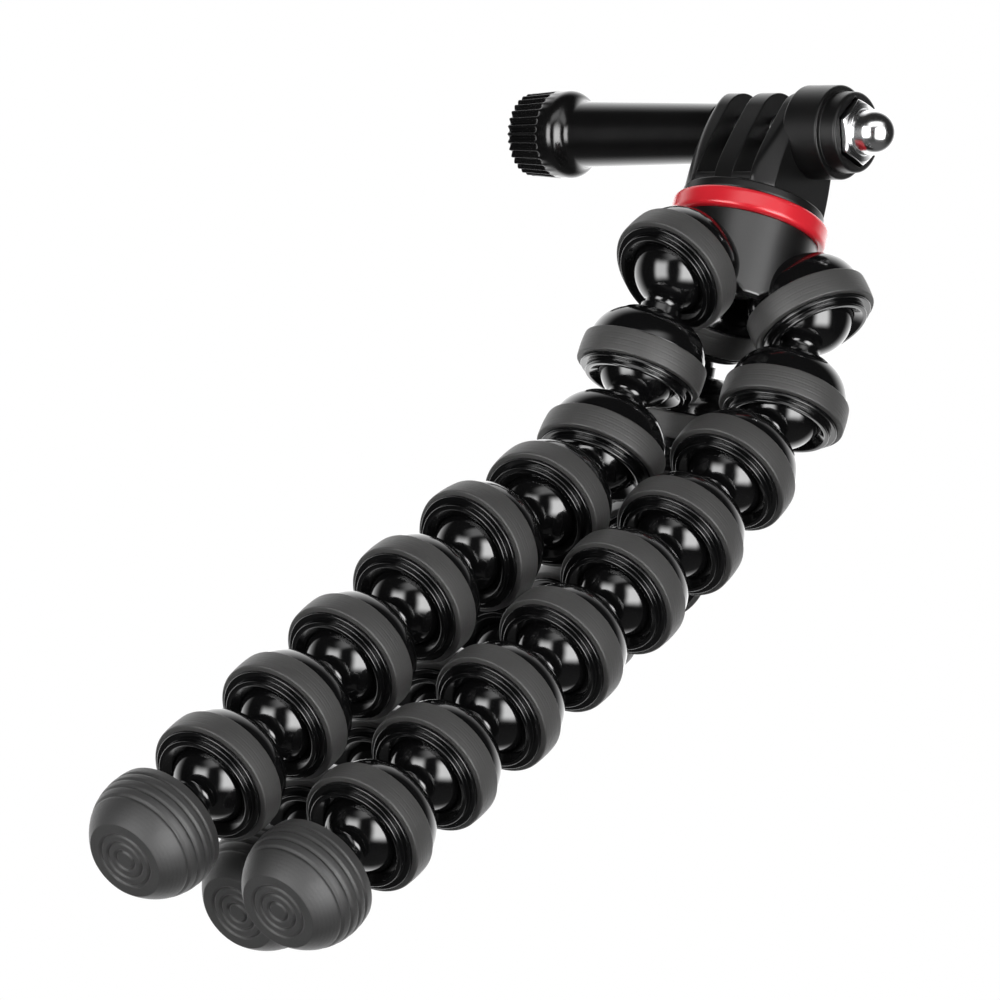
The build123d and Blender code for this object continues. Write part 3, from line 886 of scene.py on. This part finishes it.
softBoxes = {
    # direction in the camera's right, up and toward, size, distance and radiance;
    # wide, high and shine are the half sizes and the radiance that reflections see
    "keyBox": {"way": (0.46, -0.1, 0.88), "size": (0.5, 0.8), "far": 1.2, "radiance": 5.0,
               "wide": 0.38, "high": 0.42, "shine": 14.0},
    "fillBox": {"way": (-0.72, 0.0, 0.694), "size": (0.5, 0.8), "far": 1.2, "radiance": 3.5,
                "wide": 0.33, "high": 0.4, "shine": 11.0},
    "topBox": {"way": (0.08, 0.66, 0.75), "size": (0.8, 0.4), "far": 1.2, "radiance": 1.6,
               "wide": 0.6, "high": 0.22, "shine": 2.6},
}
middle = (np.array(cadBox[0]) + np.array(cadBox[1])) / 2
for name, box in softBoxes.items():
    way = unit(box["way"][0] * right + box["way"][1] * up + box["way"][2] * toward)
    lamp = bpy.data.lights.new(name, "AREA")
    lamp.shape = "RECTANGLE"
    lamp.size, lamp.size_y = box["size"]
    lamp.energy = box["radiance"] * np.pi * box["size"][0] * box["size"][1]
    stand = bpy.data.objects.new(name, lamp)
    stand.location = middle + way * box["far"]
    stand.rotation_mode = "QUATERNION"
    stand.rotation_quaternion = facing(way, up)
    stand.visible_glossy = False      # the world holds their reflections
    bpy.context.scene.collection.objects.link(stand)

# what glossy surfaces see of the surroundings, and the light of all the others
surround = {"dark": 0.025, "backdrop": 2.2, "low": 0.12, "ambient": 0.35}
world = bpy.data.worlds.new("studio")
bpy.context.scene.world = world
world.use_nodes = True
world.node_tree.nodes.clear()
sky = Wire(world.node_tree)
ways = sky.node("ShaderNodeTexCoord", output="Generated")
skyRamps = {
    # where each part of the reflected surroundings starts and is full: the
    # backdrop behind the object, the ground below it, and the edge of a soft box
    "backdrop": (-0.25, -0.8), "low": (-0.4, -0.95), "ahead": (0.0, 0.1), "boxEdge": (1.25, 0.45),
}


def towards(direction):
    # the ray's part along a direction
    return sky.node(
        "ShaderNodeVectorMath", {"operation": "DOT_PRODUCT"}, {0: ways, 1: tuple(direction)}, output="Value",
    )


def ramped(value, start, end):
    # 0 to 1 as the value goes from start to end
    return sky.node("ShaderNodeMapRange", {"interpolation_type": "SMOOTHSTEP"}, {
        "Value": value, "From Min": start, "From Max": end, "To Min": 0.0, "To Max": 1.0})


def boxShine(box):
    # a soft-edged oblong round the box's direction
    way = box["way"]
    ahead = unit(way[0] * right + way[1] * up + way[2] * toward)
    across = unit(np.cross(up, ahead))
    shine = ramped(towards(ahead), *skyRamps["ahead"]) * box["shine"]
    for direction, half in ((across, box["wide"]), (np.cross(ahead, across), box["high"])):
        off = sky.node("ShaderNodeMath", {"operation": "ABSOLUTE"}, {0: towards(direction)})
        shine = shine * ramped(off, half * skyRamps["boxEdge"][0], half * skyRamps["boxEdge"][1])
    return shine


mirrored = ramped(towards(toward), *skyRamps["backdrop"]) * surround["backdrop"]
mirrored = sky.math("MAXIMUM", mirrored, ramped(towards(up), *skyRamps["low"]) * surround["low"])
mirrored = sky.math("MAXIMUM", mirrored, surround["dark"])
for box in softBoxes.values():
    mirrored = mirrored + boxShine(box)
rays = {key: sky.node("ShaderNodeLightPath", output=key) for key in (
    "Is Camera Ray", "Is Glossy Ray", "Is Transmission Ray")}
strength = rays["Is Glossy Ray"] * mirrored + (1 - rays["Is Glossy Ray"]) * surround["ambient"]
strength = sky.math("MAXIMUM", strength, rays["Is Camera Ray"])
strength = sky.math("MAXIMUM", strength, rays["Is Transmission Ray"])
light = sky.node("ShaderNodeBackground", inputs={"Color": (1, 1, 1, 1), "Strength": strength})
sky.node("ShaderNodeOutputWorld", inputs={"Surface": light})

floorSize = {"radius": 3.0, "near": 0.25, "far": 0.9, "columns": 96, "glow": 0.45}


def makeFloor():
    # a disc of rings at the lowest foot, pale near the tripod and fading out; it
    # is clear from below and to shadow and glossy rays, so it hides and darkens nothing
    rings = np.linspace(0, 1, 14)[1:, None] ** 2 * floorSize["radius"]
    angle = np.linspace(0, 2 * np.pi, floorSize["columns"], endpoint=False)
    low = float(cadBox[0][2])
    ringPoints = np.stack([
        rings * np.cos(angle) + middle[0], rings * np.sin(angle) + middle[1], 0 * rings + 0 * angle + low,
    ], -1)
    vertices = np.concatenate([ringPoints.reshape(-1, 3), [[middle[0], middle[1], low]]])
    index = np.arange(floorSize["columns"])
    quads = gridFaces(len(rings), floorSize["columns"], False)[:, ::-1]
    fan = np.stack([0 * index + len(vertices) - 1, index, np.roll(index, -1)], 1)
    mesh = bpy.data.meshes.new("floor")
    mesh.from_pydata(vertices.tolist(), [], quads.tolist() + fan.tolist())
    floor = bpy.data.objects.new("floor", mesh)
    bpy.context.scene.collection.objects.link(floor)
    material, wire = startFinish("paleFloor")
    path = {key: wire.node("ShaderNodeLightPath", output=key) for key in (
        "Is Camera Ray", "Is Shadow Ray", "Is Glossy Ray")}
    back = wire.node("ShaderNodeNewGeometry", output="Backfacing")
    place = wire.node("ShaderNodeTexCoord", output="Object")
    reach = wire.node("ShaderNodeVectorMath", {"operation": "DISTANCE"}, {
        0: place, 1: (middle[0], middle[1], low)}, output="Value")
    fade = wire.node("ShaderNodeMapRange", {"interpolation_type": "SMOOTHSTEP"}, {
        "Value": reach, "From Min": floorSize["near"], "From Max": floorSize["far"], "To Min": 0.0, "To Max": 1.0})
    clear = wire.math("MAXIMUM", back, path["Is Shadow Ray"] + path["Is Glossy Ray"])
    clear = wire.math("MAXIMUM", clear, fade * path["Is Camera Ray"])
    pale = wire.node("ShaderNodeAddShader", inputs={
        0: wire.node("ShaderNodeBsdfDiffuse", inputs={"Color": (0.9, 0.9, 0.9, 1)}),
        1: wire.node("ShaderNodeEmission", inputs={"Strength": path["Is Camera Ray"] * floorSize["glow"]}),
    })
    through = wire.node("ShaderNodeBsdfTransparent")
    mixed = wire.node("ShaderNodeMixShader", inputs={0: clear, 1: pale, 2: through})
    wire.node("ShaderNodeOutputMaterial", inputs={"Surface": mixed})
    mesh.materials.append(material)


makeFloor()
bpy.context.scene.view_settings.view_transform = "Standard"
print("floor, light and camera made")
